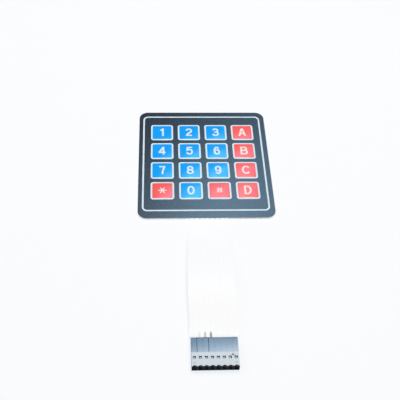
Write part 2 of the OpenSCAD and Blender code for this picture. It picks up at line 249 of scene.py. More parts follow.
def ceiling(name, at, width, depth, radiance, colour):
    """Panel that hangs level over a place and follows the slant."""
    return panel(name, (*at, PANEL_Z), (*at, 0), width, depth, radiance, colour, SLANT)


main_at = EDGE - PAST * MAIN_DEPTH / 2
sky_at = EDGE + PAST * SKY_DEPTH / 2 + ALONG * SKY_SHIFT
main_panel = ceiling("main_panel", main_at, MAIN_W, MAIN_DEPTH, 9.9, (1.0, 0.985, 0.96))
sky_panel = ceiling("sky_panel", sky_at, SKY_W, SKY_DEPTH, 1.0, (1, 1, 1))
left_panel = panel("left_panel", (-0.55, 0.25, 0.55), (0, -0.05, 0), 0.25, 0.3, 4.8, (1, 1, 1))
front_panel = panel("front_panel", (0, -0.55, 0.5), (0, -0.09, 0), 0.4, 0.3, 3.1, (1.0, 0.99, 0.97))


def grade(lamp):
    """Grades a panel that starts at the main panel's far edge. With d the distance past that edge, the
    radiance falls from 10.5 by 6.1 over the first 22 mm and by 3.9 more between 0.29 and 0.47 m. It peaks
    along a line whose x drifts from 0.05 m by -0.14 d and by 0.3 smoothly between 0.2 and 0.5 m, and
    fades out 0.09 m to the left of that line and 0.28 m to its right. The colour turns bluer with the
    second fall."""
    g = Graph(lamp.data)
    place = g.node("NewGeometry", out="Position")
    x, y = (g.node("SeparateXYZ", None, place, out=letter) for letter in "XY")
    d = (x - EDGE.x) * PAST.x + (y - EDGE.y) * PAST.y
    near, far = d.step(-0.004, 0.022), d.step(0.29, 0.47)
    side = x - 0.05 + d * 0.14 - d.step(0.2, 0.5) * 0.3
    level = (10.5 - near * 6.1 - far * 3.9) * side.step(-0.09, 0) * side.step(0.28, 0)
    colour = g.blend(far, rgb(0.48, 0.75, 0.98), rgb(0.45, 0.76, 1.15))
    g.node("OutputLight", None, g.node("Emission", None, colour, level))


grade(sky_panel)
print("lights:", main_panel.name, sky_panel.name, left_panel.name, front_panel.name)

# %% World
HORIZON = rgb(0.725, 0.79, 0.88)
WORLD_TONE = rgb(1.0, 0.97, 0.94)
WORLD_LEVEL = 0.19


def light_world(world):
    """A camera ray gets the horizon at strength 1, and any other ray the world's tone at its level."""
    g = Graph(world)
    seen = g.node("LightPath", out="Is Camera Ray")
    sky = g.blend(seen, WORLD_TONE, HORIZON)
    g.node("OutputWorld", None, g.node("Background", None, sky, seen * (1 - WORLD_LEVEL) + WORLD_LEVEL))


bpy.context.scene.world = bpy.data.worlds.new("studio")
light_world(bpy.context.scene.world)
print("world level:", WORLD_LEVEL)

# %% Floor
FLOOR_RADIUS = 4.0
FLOOR_TONE, FLOOR_DEEPER = rgb(0.96, 0.965, 0.975), rgb(0.955, 0.96, 0.97)
FLOOR_GLOW = rgb(0.66, 0.74, 0.85)
FLOOR_WARM = rgb(0.291, 0.226, 0.138)


def floor_material():
    """Matt white. What the camera and mirror images see of it is a pale bluish glow plus a warm matt
    part. In full light they add up to white, and in the shade the warm part goes, so the shadows come
    out soft and bluish."""
    f = Finish("studio_floor")
    tone = f.blend(f.noise(0.3), FLOOR_TONE, FLOOR_DEEPER)
    seen = f.node("LightPath", out="Is Camera Ray") + f.node("LightPath", out="Is Glossy Ray")
    seen = seen + f.node("LightPath", out="Is Transmission Ray")
    matt = f.node("BsdfDiffuse", None, tone)
    glow = f.node("Emission", None, FLOOR_GLOW, 1.0)
    pale = f.node("AddShader", None, glow, f.node("BsdfDiffuse", None, FLOOR_WARM))
    return f.surface(f.node("MixShader", None, seen.step(0, 1), matt, pale))


def disc(name, radius, steps, material):
    """Flat disc: points at equal angles round a centre."""
    angle = np.arange(steps) * 2 * pi / steps
    points = np.stack([radius * np.cos(angle), radius * np.sin(angle), 0 * angle], -1)
    mesh = bpy.data.meshes.new(name)
    mesh.from_pydata(points.tolist(), [], [list(range(steps))])
    mesh.materials.append(material)
    made = bpy.data.objects.new(name, mesh)
    bpy.context.scene.collection.objects.link(made)
    return made


floor = disc("studio_floor", FLOOR_RADIUS, 64, floor_material())
print("floor radius in m:", FLOOR_RADIUS)

# %% [markdown]
# ## Finishes
#
# Each material has the small things that make it read as itself. The overlay is polyester with a fine
# moulded grain, so it scatters a sheen. Its colours are printed on its underside and seen through the
# film, so they have the same grain, weaker, and where the film is cut it shows a pale edge. A picture
# could give all this, but it would blur close up. Noise worked out at each point stays sharp.

# %% Overlay and print finishes
GRAIN = 0.32 * MM
GRAIN_DEPTH = 0.012 * MM
POLYESTER_IOR = 1.57
UNTINTED = rgb(1.0, 1.0, 1.0)


def film_material(name, colour, deeper, roughness, sheen, tint, grain_strength, edge=None):
    """Fine-grained satin film. Colour and roughness wander a little with slow and fine noise. Where the
    surface stands upright it takes the edge's colour, because the ink lies under a clear film."""
    f = Finish(name)
    slow, fine = f.noise(9 * MM), f.noise(GRAIN, 3.0)
    tone = f.blend(slow * 0.5 + fine * 0.5, colour, deeper)
    if edge:
        up = f.node("SeparateXYZ", None, f.node("NewGeometry", out="True Normal"), out="Z")
        tone = f.blend(up.step(0.7, 0.3), tone, edge)
    return f.surface(f.node(
        "BsdfPrincipled", None, Base_Color=tone, Roughness=roughness + (fine - 0.5) * 0.1, IOR=POLYESTER_IOR,
        Specular_IOR_Level=sheen, Specular_Tint=tint, Normal=f.bump(fine, GRAIN_DEPTH, grain_strength)))


def white_material(name, colour, deeper):
    """White print, which is duller than the colours."""
    return film_material(name, colour, deeper, 0.39, 0.25, UNTINTED, 0.5)


overlay_finish = film_material(
    "overlay_film", rgb(0.002, 0.003, 0.011), rgb(0.004, 0.006, 0.015),
    0.26, 0.985, rgb(0.7, 0.88, 1.0), 0.9, rgb(0.6, 0.63, 0.66))
blue_finish = film_material(
    "blue_print", rgb(0.0, 0.335, 0.94), rgb(0.0, 0.365, 0.98), 0.12, 0.65, rgb(0.6, 1.0, 0.12), 0.5)
red_finish = film_material(
    "red_print", rgb(0.92, 0.1, 0.095), rgb(0.95, 0.122, 0.115), 0.16, 0.5, rgb(0.7, 0.9, 1.0), 0.5)
white_finish = white_material("white_print", rgb(0.65, 0.785, 0.885), rgb(0.685, 0.815, 0.905))
legend_finish = {
    "blue": white_material("white_on_blue", rgb(0.64, 0.775, 0.845), rgb(0.67, 0.8, 0.865)),
    "red": white_material("white_on_red", rgb(0.86, 0.735, 0.72), rgb(0.89, 0.765, 0.75))}
print("film finishes:", overlay_finish.name, white_finish.name, blue_finish.name, red_finish.name)

# %% [markdown]
# ## The circuit film's finish
#
# The tail is milky polyester. Its tracks are printed on the inner sides of its two films, so they show
# only as faint bands. Where they come out of the keypad they are painted darker and brownish: painted
# shade on the real tracks where they pass under the overlay's edge. The left half's tracks end in dark
# carbon next to the housing. The tracks are real solids in the CAD part, but light that goes through a
# milky film is slow to render, so the finish works out the bands from the pins' places.

# %% Circuit film finish
PIN_PITCH = 2.54 * MM
PINS = 8
HOUSING_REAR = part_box("socket_housing")[1].y / MM
KEYPAD_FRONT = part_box("release_liner")[0].y / MM
CARBON_END, CARBON_FADE = HOUSING_REAR + 4.0, 1.6
CARBON_LEFT, CARBON_RIGHT = -10.5, -0.6
INK_HALF = 0.36


def circuit_material(name, carbon_ends):
    """Milky polyester. Tracks show as bands at the pins' places across X, by the distance to the
    nearest pin. With carbon ends, those left of the middle are dark next to the housing, and the
    darkness grows from the left to the right of them."""
    f = Finish(name)
    x, y = f.axis("X"), f.axis("Y")
    pitch = PIN_PITCH / MM
    slot = f.node("Math", dict(operation="FLOOR"), x / pitch)
    aside = abs(x / pitch - slot - 0.5) * pitch
    band = aside.step(INK_HALF + 0.15, INK_HALF - 0.1)
    tail = y.step(KEYPAD_FRONT - 0.1, KEYPAD_FRONT - 0.9)
    streak = f.noise(2.2 * MM, 2.0, (1, 0.08, 1))
    faint = band * tail * (streak * 0.03 + 0.005)
    milk = f.blend(f.noise(14 * MM), rgb(0.925, 0.93, 0.948), rgb(0.94, 0.945, 0.96))
    tone = f.blend(faint, milk, rgb(0.45, 0.43, 0.42))
    # Painted shade: the bands turn dark brown over the last 1.2 mm before the keypad's front edge, where the
    # tracks pass into the shade under the overlay.
    root = band * y.step(KEYPAD_FRONT - 1.2, KEYPAD_FRONT - 0.1) * 0.5
    tone = f.blend(root, tone, rgb(0.42, 0.3, 0.22))
    if carbon_ends:
        left = x.step(0.2, -0.2)
        weight = x.step(CARBON_LEFT, CARBON_RIGHT)
        wide = aside.step(INK_HALF + 0.25, INK_HALF)
        end = y.step(CARBON_END, CARBON_END - CARBON_FADE) * wide * left * weight * (weight * 0.6 + 0.2)
        tone = f.blend(end, tone, rgb(0.09, 0.15, 0.2))
    return f.surface(f.node(
        "BsdfPrincipled", None, Base_Color=tone, Roughness=0.38 + f.noise(3 * MM) * 0.1,
        Specular_IOR_Level=0.15, Normal=f.bump(band * tail, 0.004 * MM)))


upper_finish = circuit_material("upper_circuit_film", True)
lower_finish = circuit_material("lower_circuit_film", False)
print("circuit film finishes:", upper_finish.name, lower_finish.name)

# %% Small part finishes
def plain_material(name, colour, deeper, roughness, grain, depth, metallic=0.0):
    """A quiet finish: colour and roughness wander with noise, and a shallow relief follows it."""
    f = Finish(name)
    patch, fine = f.noise(grain * 12), f.noise(grain, 4.0)
    tone = f.blend(patch * 0.6 + fine * 0.4, colour, deeper)
    return f.surface(f.node(
        "BsdfPrincipled", None, Base_Color=tone, Roughness=roughness + (patch - 0.5) * 0.15,
        Metallic=metallic, Normal=f.bump(fine, depth)))


spacer_finish = plain_material(
    "spacer_film", rgb(0.86, 0.865, 0.87), rgb(0.9, 0.9, 0.9), 0.5, 0.3 * MM, 0.002 * MM)
paper_finish = plain_material(
    "liner_paper", rgb(0.89, 0.895, 0.9), rgb(0.92, 0.92, 0.92), 0.5, 0.25 * MM, 0.006 * MM)
glue_finish = plain_material(
    "adhesive", rgb(0.84, 0.83, 0.8), rgb(0.88, 0.87, 0.84), 0.35, 0.4 * MM, 0.004 * MM)
ink_finish = plain_material(
    "silver_ink", rgb(0.4, 0.39, 0.37), rgb(0.56, 0.55, 0.53), 0.45, 0.15 * MM, 0.004 * MM, 0.3)
metal_finish = plain_material(
    "contact_metal", rgb(0.36, 0.37, 0.385), rgb(0.46, 0.475, 0.49), 0.4, 0.12 * MM, 0.002 * MM, 1.0)
print("small part finishes:", spacer_finish.name, paper_finish.name, glue_finish.name, ink_finish.name,
      metal_finish.name)

# %% [markdown]
# ## The housing's finish
#
# The housing is black nylon from a polished mould. Its upper side mirrors the panels, and its front
# face and its holes stay black. One shiny shader would make the holes shine too, so a shiny and a dull
# one are mixed by the way that the surface faces and by the distance to the front.

# %% Housing finish
HOUSING_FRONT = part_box("socket_housing")[0].y / MM


def housing_material():
    """Black nylon: shiny where the normal points up, and dull on upright walls and within 0.1 mm of the
    front face."""
    f = Finish("housing_plastic")
    y = f.axis("Y")
    up = f.node("SeparateXYZ", None, f.node("NewGeometry", out="Normal"), out="Z")
    front = y.step(HOUSING_FRONT + 0.12, HOUSING_FRONT + 0.02)
    fine, flow = f.noise(0.5 * MM, 3.0), f.noise(4 * MM, 2.0, (1, 0.25, 1))
    tone = f.blend(flow, rgb(0.010, 0.011, 0.013), rgb(0.018, 0.02, 0.024))
    relief = f.bump(flow, 0.004 * MM)
    shine = f.node("BsdfPrincipled", None, Base_Color=tone, Roughness=0.07 + flow * 0.03,
                   Specular_IOR_Level=0.94, Specular_Tint=rgb(0.8, 0.9, 1.0), Normal=relief)
    dull = f.node("BsdfPrincipled", None, Base_Color=tone, Roughness=0.55 + fine * 0.1,
                  Specular_IOR_Level=0.2, Normal=relief)
    hidden = 1 - up.step(-0.2, 0.6) * (1 - front)
    return f.surface(f.node("MixShader", None, hidden, shine, dull))


housing_finish = housing_material()
print("housing finish:", housing_finish.name)

# %% [markdown]
# ## Thin shells
#
# Everything here is a sheet with a thickness. A sheet is a grid of points, worked out as whole arrays.
# `shell` joins an upper and a lower grid of the same shape into a closed solid: the quads of the upper
# grid, the same quads of the lower grid turned over, and a wall along each open edge.

# %% Shells from two grids
def grid_quads(p, q, r, s):
    """Quads from four equal arrays of point numbers."""
    return np.stack([p, q, r, s], -1).reshape(-1, 4)


def shell(upper, lower, ring=False):
    """Closed solid between two grids (n, m, 3). With ring, the first direction runs round in a loop,
    anticlockwise from above, and the second runs inwards. Otherwise they run along +X and +Y."""
    n, m = upper.shape[:2]
    number = np.arange(2 * n * m).reshape(2, n, m)
    if ring:
        number = np.concatenate([number, number[:, :1]], 1)
    a, b = number
    faces = [grid_quads(a[:-1, :-1], a[1:, :-1], a[1:, 1:], a[:-1, 1:]),
             grid_quads(b[:-1, :-1], b[:-1, 1:], b[1:, 1:], b[1:, :-1]),
             grid_quads(a[:-1, 0], b[:-1, 0], b[1:, 0], a[1:, 0]),
             grid_quads(a[1:, -1], b[1:, -1], b[:-1, -1], a[:-1, -1])]
    if not ring:
        faces += [grid_quads(a[0, 1:], b[0, 1:], b[0, :-1], a[0, :-1]),
                  grid_quads(a[-1, :-1], b[-1, :-1], b[-1, 1:], a[-1, 1:])]
    points = np.concatenate([upper.reshape(-1, 3), lower.reshape(-1, 3)])
    return points, np.concatenate(faces).tolist()


SHARP = radians(35)


def add_piece(name, solids, material, slot, *nodes):
    """One object from several solids: their points and faces are put in one mesh, edges sharper than
    SHARP stay crisp, and the piece rides on the body and hides the CAD nodes named."""
    points = np.concatenate([solid[0] for solid in solids])
    starts = np.cumsum([0] + [len(solid[0]) for solid in solids[:-1]])
    faces = [[int(start) + v for v in face] for start, solid in zip(starts, solids) for face in solid[1]]
    mesh = bpy.data.meshes.new(name)
    mesh.from_pydata(points, [], faces)
    mesh.polygons.foreach_set("use_smooth", np.ones(len(faces), bool))
    mesh.set_sharp_from_angle(angle=SHARP)
    mesh.materials.append(material)
    mesh.update()
    piece = bpy.data.objects.new(name, mesh)
    bpy.context.scene.collection.objects.link(piece)
    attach(piece, "root")
    if nodes:
        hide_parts(*nodes)
    print(name, "points", len(points), "faces", len(faces))


# %% [markdown]
# ## The overlay film and its keys
#
# The overlay is one sheet of textured film. Each key is pressed up into a shallow cap, so that the
# finger finds it. In metal or plastic one would model a cap and fillet it. Here it is simpler to say
# how high the film stands at each point, because everything printed on it must follow the same hills.
# The grid's lines lie close together over the rims of the keys and far apart elsewhere.

# %% Sizes of the overlay
liner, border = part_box("release_liner"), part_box("border_line")
KEYPAD_W, KEYPAD_H = liner[1].x * 2, liner[1].y * 2
CORNER_R = 4.7 * MM
FACE = border[1].z
OVERLAY_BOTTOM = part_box("overlay_adhesive")[1].z
OVERLAY_T = FACE - OVERLAY_BOTTOM
KEYS = 4
PITCH_X, PITCH_Y = 14.6 * MM, 14.2 * MM
KEY_W, KEY_H, KEY_R = 12 * MM, 11.9 * MM, 1.4 * MM
FRAME_LINE, FIELD_R = 0.85 * MM, 0.7 * MM
CROWN = 0.2 * MM
PRINT_X, GRID_UP = -0.2 * MM, 1.1 * MM
RIM = 1.3 * MM
CROWN_REACH = sqrt((KEY_W / 2 - KEY_R) ** 2 + (KEY_H / 2 - KEY_R) ** 2) + KEY_R
CROWN_R = (CROWN_REACH ** 2 + CROWN ** 2) / (2 * CROWN)
COLUMNS = (np.arange(KEYS) - (KEYS - 1) / 2) * PITCH_X + PRINT_X
ROWS = GRID_UP - (np.arange(KEYS) - (KEYS - 1) / 2) * PITCH_Y
print("keypad in mm:", round(KEYPAD_W / MM, 2), round(KEYPAD_H / MM, 2), "face at", round(FACE / MM, 3))


# %% Height of the film
def box_distance(x, y, width, height, radius):
    """Distance to the outline of a rounded rectangle, negative inside: the reach past the rectangle
    that the corners' centres span, less the radius."""
    over_x, over_y = np.abs(x) - (width / 2 - radius), np.abs(y) - (height / 2 - radius)
    outside = np.hypot(np.maximum(over_x, 0), np.maximum(over_y, 0))
    return outside + np.minimum(np.maximum(over_x, over_y), 0) - radius


def nearest(values, centres):
    """Each value measured from the nearest of the centres."""
    gaps = values[..., None] - centres
    pick = np.abs(gaps).argmin(-1)[..., None]
    return np.take_along_axis(gaps, pick, -1)[..., 0]


def film_height(x, y):
    """Face plus the key's cap. The cap is the top of a sphere, sqrt(R^2 - r^2) less R - crown, times
    a smooth step that grows from 0 on the key's outline to 1 a rim's width inside it."""
    dx, dy = nearest(x, COLUMNS), nearest(y, ROWS)
    inside = np.clip(-box_distance(dx, dy, KEY_W, KEY_H, KEY_R) / RIM, 0, 1)
    cap = np.sqrt(CROWN_R ** 2 - np.minimum(dx ** 2 + dy ** 2, CROWN_REACH ** 2)) - (CROWN_R - CROWN)
    return FACE + cap * inside ** 2 * (3 - 2 * inside)


print("crown radius in mm:", round(CROWN_R / MM, 1))


# %% Grids over rounded rectangles
def lines(marks, counts):
    """Coordinates that split each stretch between two marks into its count of equal steps."""
    parts = [np.linspace(a, b, n, endpoint=False) for a, b, n in zip(marks, marks[1:], counts)]
    return np.append(np.concatenate(parts), marks[-1])


def key_lines(centres, half, end):
    """Coordinates from -end to end: 8 fine steps over each rim of a key, 12 steps over its top and 4
    between two keys."""
    marks, counts = [-end], []
    for centre in np.sort(centres):
        marks += [centre - half, centre - half + RIM, centre + half - RIM, centre + half]
        counts += [4, 8, 12, 8]
    return lines(marks + [end], counts + [4])


def end_rows(half, radius, steps):
    """Rows inside the corners, from the corners' start to the end: half - r + r sin(angle)."""
    return half - radius + radius * np.sin(np.linspace(0, pi / 2, steps + 1))


def rounded_grid(xs, ys, width, height, radius):
    """Plan grid (n, m, 2): each row keeps its y and is squeezed to the outline's half width there,
    width / 2 - r + sqrt(r^2 - d^2), where d is how far the row lies inside the corners."""
    into = np.clip(np.abs(ys) - (height / 2 - radius), 0, radius)
    half = width / 2 - radius + np.sqrt(radius ** 2 - into ** 2)
    return np.stack([xs[:, None] / (width / 2) * half, np.broadcast_to(ys, (len(xs), len(ys)))], -1)


def laid(plan, lift=0.0):
    """Points of a plan grid laid on the film at a distance above it."""
    x, y = plan[..., 0], plan[..., 1]
    return np.stack([x, y, film_height(x, y) + lift], -1)


CORNER_STEPS = 10
flat_end = KEYPAD_H / 2 - CORNER_R
tips = end_rows(KEYPAD_H / 2, CORNER_R, CORNER_STEPS)[1:]
overlay_ys = np.concatenate([-tips[::-1], key_lines(ROWS, KEY_H / 2, flat_end), tips])
overlay_xs = key_lines(COLUMNS, KEY_W / 2, KEYPAD_W / 2)
overlay_plan = rounded_grid(overlay_xs, overlay_ys, KEYPAD_W, KEYPAD_H, CORNER_R)
add_piece("overlay_sheet", [shell(laid(overlay_plan), laid(overlay_plan, -OVERLAY_T))],
          overlay_finish, "overlay", "overlay_film")

# %% [markdown]
# ## Printed lines and fields
#
# The border line and the key frames are bands between two rounded outlines. Both outlines are walked
# with the same number of points, so a band is a straight blend from the outer to the inner one. The
# fields fill the frames. All of them are thin skins of ink that follow the film's height.

# %% Bands and fields
INK_T = 0.03 * MM
INK_LIFT = 0.008 * MM


def outline(width, height, radius, side_steps, corner_steps=6):
    """Closed outline (n, 2), anticlockwise: a quarter circle at each corner, then a straight side."""
    loop = []
    for quarter, (sx, sy) in enumerate([(1, -1), (1, 1), (-1, 1), (-1, -1)]):
        angle = np.linspace(-pi / 2, 0, corner_steps + 1) + quarter * pi / 2
        centre = np.array([sx * (width / 2 - radius), sy * (height / 2 - radius)])
        loop.append(centre + radius * np.stack([np.cos(angle), np.sin(angle)], -1))
    sides = [np.linspace(loop[k][-1], loop[(k + 1) % 4][0], side_steps + 1)[1:-1] for k in range(4)]
    return np.concatenate([part for pair in zip(loop, sides) for part in pair])


def band(outer, inner, across):
    """Grid between two outlines with the same number of points."""
    part = np.linspace(0, 1, across + 1)[None, :, None]
    return outer[:, None] * (1 - part) + inner[:, None] * part


def ink(plan, ring=False):
    """Skin of ink on the film: its upper side at the lift, its lower side sunk into the film."""
    return shell(laid(plan, INK_LIFT), laid(plan, INK_LIFT - INK_T), ring)


border_w, border_h = (border[1] - border[0]).x, (border[1] - border[0]).y
border_centre = np.array([(border[0].x + border[1].x) / 2, (border[0].y + border[1].y) / 2])
BORDER_LINE, BORDER_R = 0.85 * MM, 2.8 * MM
border_out = outline(border_w, border_h, BORDER_R, 8, 12)
border_in = outline(border_w - 2 * BORDER_LINE, border_h - 2 * BORDER_LINE, BORDER_R - BORDER_LINE, 8, 12)
add_piece("border_band", [ink(band(border_out, border_in, 2) + border_centre, ring=True)],
          white_finish, "white_print", "border_line")

FIELD_W, FIELD_H = KEY_W - 2 * FRAME_LINE, KEY_H - 2 * FRAME_LINE
frame_plan = band(outline(KEY_W, KEY_H, KEY_R, 24), outline(FIELD_W, FIELD_H, FIELD_R, 24), 5)
centres = {(c, r): np.array([COLUMNS[c], ROWS[r]]) for c in range(KEYS) for r in range(KEYS)}
add_piece("frame_bands", [ink(frame_plan + at, ring=True) for at in centres.values()],
          white_finish, "white_print", "key_frames")


def field_plan():
    """Grid that fills a frame, with close rows inside its corners."""
    ends = end_rows(FIELD_H / 2, FIELD_R, 6)[1:]
    ys = np.concatenate([-ends[::-1], np.linspace(FIELD_R - FIELD_H / 2, FIELD_H / 2 - FIELD_R, 23), ends])
    return rounded_grid(np.linspace(-FIELD_W / 2, FIELD_W / 2, 27), ys, FIELD_W, FIELD_H, FIELD_R)


RED = {(c, r) for c, r in centres if c == 3 or (r == 3 and c in (0, 2))}
for tint, keys, finish in (("blue", set(centres) - RED, blue_finish), ("red", RED, red_finish)):
    add_piece(f"{tint}_fields", [ink(field_plan() + centres[key]) for key in sorted(keys)],
              finish, f"{tint}_print", f"{tint}_key_fields")

# %% [markdown]
# ## Legends
#
# The digits and letters are a plain sans face. Each is a handful of strokes of one width, made from
# straight lines, arcs and bends. The signed distance to a stroke says how far a point lies outside
# it, and the smallest distance over all strokes joins them into one shape. Cutting a fine grid where
# that distance is zero gives one clean sheet for each legend, with no strokes lying on each other.

# %% Strokes
CAP = 5.4 * MM
STROKE = 0.96 * MM


def arc(cx, cy, rx, ry, start, end, steps=36):
    """Points on an ellipse from one angle to another, in degrees."""
    angle = np.radians(np.linspace(start, end, steps + 1))
    return np.stack([cx + rx * np.cos(angle), cy + ry * np.sin(angle)], -1)


def bend(*points):
    """Quadratic curve from the first point to the last, pulled towards the middle one."""
    t = np.linspace(0, 1, 17)[:, None]
    a, b, c = np.array(points, float)
    return a * (1 - t) ** 2 + 2 * b * t * (1 - t) + c * t ** 2


def run(*points):
    """Straight line or a chain of them."""
    return np.array(points, float)


def join(*parts):
    """One path from several."""
    return np.concatenate(parts)


# Paths of each legend from its middle, before it is drawn tall.
GLYPHS = {
    "1": [run((0.45, -2.9), (0.45, 2.7)), bend((-0.95, 1.5), (0.3, 1.55), (0.4, 2.9))],
    "2": [join(arc(0, 0.95, 1.3, 1.35, 172, -30), bend((1.0, 0.15), (-1.0, -1.2), (-1.25, -2.5))),
          run((-1.6, -2.3), (1.6, -2.3))],
    "3": [arc(-0.05, 1.15, 1.25, 1.15, 165, -90), arc(-0.05, -1.1, 1.4, 1.2, 90, -168),
          run((-0.6, 0.05), (0.1, 0.05))],
    "4": [run((-1.6, -1.25), (0.65, 2.6)), run((-1.85, -1.15), (1.85, -1.15)),
          run((0.7, -2.9), (0.7, 2.9))],
    "5": [run((-1.2, 2.3), (1.5, 2.3)), run((-0.95, 2.6), (-1.35, -0.15)),
          arc(-0.05, -0.7, 1.4, 1.6, 145, -162)],
    "6": [arc(0, 0, 1.25, 2.3, 38, 270), arc(0, -0.85, 1.25, 1.45, 0, 360)],
    "7": [run((-1.6, 2.3), (1.55, 2.3)), bend((1.3, 2.3), (0.2, 0.3), (0.05, -2.9))],
    "8": [arc(0, 1.2, 1.2, 1.1, 0, 360), arc(0, -1.1, 1.4, 1.2, 0, 360)],
    "9": [arc(0, 0, 1.25, 2.3, 218, 450), arc(0, 0.85, 1.25, 1.45, 0, 360)],
    "0": [arc(0, 0, 1.4, 2.3, 0, 360, 60)],
    "A": [run((-1.75, -3.0), (-0.05, 2.9)), run((1.75, -3.0), (0.05, 2.9)),
          run((-1.0, -0.95), (1.0, -0.95))],
    "B": [run((-1.45, -2.7), (-1.45, 2.7)),
          join(run((-1.45, 2.3), (0.1, 2.3)), arc(0.15, 1.25, 1.15, 1.05, 90, -90),
               run((0.1, 0.2), (-1.45, 0.2))),
          join(run((-1.45, 0.2), (0.2, 0.2)), arc(0.3, -1.05, 1.3, 1.25, 90, -90),
               run((0.2, -2.3), (-1.45, -2.3)))],
    "C": [arc(0.1, 0, 1.75, 2.3, 36, 324, 48)],
    "D": [run((-1.45, -2.7), (-1.45, 2.7)),
          join(run((-1.45, 2.3), (-0.3, 2.3)), arc(-0.2, 0, 1.6, 2.3, 90, -90, 48),
               run((-0.3, -2.3), (-1.45, -2.3)))],
    "star": [run((-2.15, 0), (2.15, 0)), run((-1.05, -1.72), (1.05, 1.72)),
             run((-1.05, 1.72), (1.05, -1.72))],
    "hash": [run((-0.9, -1.6), (-0.45, 1.6)), run((0.45, -1.6), (0.9, 1.6)),
             run((-1.55, 0.62), (1.55, 0.62)), run((-1.55, -0.62), (1.55, -0.62))],
}
# Stroke widths of the two signs, which are finer than those of the digits.
THIN = {"star": 0.55, "hash": 0.5}


def stroke_distance(path, x, y, width):
    """Distance to the nearest segment of the path less half the width. Near an open end it is at
    least the distance past the end, which cuts the stroke off square."""
    ax, ay = path[:-1].T
    bx, by = np.diff(path, axis=0).T
    along = np.clip(((x[..., None] - ax) * bx + (y[..., None] - ay) * by) / (bx ** 2 + by ** 2), 0, 1)
    d = np.hypot(x[..., None] - ax - along * bx, y[..., None] - ay - along * by).min(-1) - width / 2
    if np.allclose(path[0], path[-1]):
        return d
    for end, before in ((path[0], path[1]), (path[-1], path[-2])):
        out = (end - before) / np.hypot(*(end - before))
        past = (x - end[0]) * out[0] + (y - end[1]) * out[1]
        d = np.where(np.hypot(x - end[0], y - end[1]) < width, np.maximum(d, past), d)
    return d


print("legends:", " ".join(GLYPHS))


# %% Cut a sheet out of a grid
def cut_sheet(field, xs, ys):
    """Sheet where a field over the grid is negative. Each cell's outline is walked: corners inside
    are kept, and a point is added where the field crosses zero along a side. A cell with k such
    points becomes one face with k corners. Gives plan points, faces and the rim's segments."""
    n, m = field.shape
    gx, gy = np.meshgrid(xs, ys, indexing="ij")
    corner = np.arange(n * m).reshape(n, m)
    share = field[:-1] / np.where(field[:-1] == field[1:], 1, field[:-1] - field[1:])
    along_x = np.stack([gx[:-1] + share * (gx[1:] - gx[:-1]), gy[:-1]], -1)
    share = field[:, :-1] / np.where(field[:, :-1] == field[:, 1:], 1, field[:, :-1] - field[:, 1:])
    along_y = np.stack([gx[:, :-1], gy[:, :-1] + share * (gy[:, 1:] - gy[:, :-1])], -1)
    side_x = n * m + np.arange((n - 1) * m).reshape(n - 1, m)
    side_y = n * m + (n - 1) * m + np.arange(n * (m - 1)).reshape(n, m - 1)
    whole = np.stack([gx, gy], -1)
    points = np.concatenate([part.reshape(-1, 2) for part in (whole, along_x, along_y)])
    corners = [corner[:-1, :-1], corner[1:, :-1], corner[1:, 1:], corner[:-1, 1:]]
    sides = [side_x[:, :-1], side_y[1:], side_x[:, 1:], side_y[:-1]]
    inside = [(field < 0).reshape(-1)[c] for c in corners]
    case = sum(flag * 2 ** k for k, flag in enumerate(inside))
    faces, rim = [], []
    for pattern in range(1, 16):
        walk = []
        for k in range(4):
            here, there = pattern >> k & 1, pattern >> (k + 1) % 4 & 1
            walk += [(corners[k], False)] if here else []
            walk += [(sides[k], True)] if here != there else []
        chosen = case == pattern
        ring = np.stack([numbers[chosen] for numbers, _ in walk], -1)
        faces += ring.tolist()
        for k, (_, cut) in enumerate(walk):
            if cut and walk[(k + 1) % len(walk)][1]:
                rim += ring[:, [k, (k + 1) % len(walk)]].tolist()
    used = np.unique(np.concatenate([np.ravel(face) for face in faces]))
    rename = np.zeros(len(points), int)
    rename[used] = np.arange(len(used))
    return points[used], [rename[face].tolist() for face in faces], rename[np.array(rim)]


def thick_sheet(plan, faces, rim, lift, thickness):
    """Closed skin on the film from a cut sheet: upper side, lower side turned over, and the rim."""
    count = len(plan)
    points = np.concatenate([laid(plan, lift), laid(plan, lift - thickness)])
    under = [[v + count for v in reversed(face)] for face in faces]
    wall = grid_quads(rim[:, 1], rim[:, 0], rim[:, 0] + count, rim[:, 1] + count).tolist()
    return points, faces + under + wall


# %% Legends on the keys
LEGEND_CELL = 0.09 * MM
LEGEND_LIFT = 0.014 * MM
REACH_X, REACH_Y = 2.6, 3.3
TALL = 1.08
LEGEND_RISE = np.array([0, 0.08]) * MM
ORDER = ["1", "2", "3", "A", "4", "5", "6", "B", "7", "8", "9", "C", "star", "0", "hash", "D"]


def legend(name, at):
    """Sheet of one legend a little above a key's centre. Its field is the least distance over the
    strokes, drawn tall, and the lines of the cap height cut it level at the top and the foot."""
    strokes, width = GLYPHS[name], THIN.get(name, STROKE / MM)
    xs = np.arange(-REACH_X, REACH_X, LEGEND_CELL / MM)
    ys = np.arange(-REACH_Y, REACH_Y, LEGEND_CELL / MM)
    x, y = np.meshgrid(xs, ys, indexing="ij")
    field = np.min([stroke_distance(path, x, y / TALL, width) for path in strokes], axis=0)
    field = np.maximum(field, np.abs(y) - TALL * CAP / MM / 2)
    plan, faces, rim = cut_sheet(field, xs, ys)
    return thick_sheet(plan * MM + at + LEGEND_RISE, faces, rim, LEGEND_LIFT, INK_T)


for place, name in enumerate(ORDER):
    at = centres[place % KEYS, place // KEYS]
    tint = "red" if (place % KEYS, place // KEYS) in RED else "blue"
    add_piece(f"legend_{name}", [legend(name, at)], legend_finish[tint], "white_print")

# %% [markdown]
# ## Circuit films and tail
#
# Under the overlay lie two circuit films and a spacer, and all three run out as one flat tail. It
# leaves the keypad level, rises in a free arch and comes down into the housing. In CAD the arch is a
# chain of short flats, which is enough for a solid. Here each film is swept along the same curve in
# many fine steps, so that light runs smoothly over it.

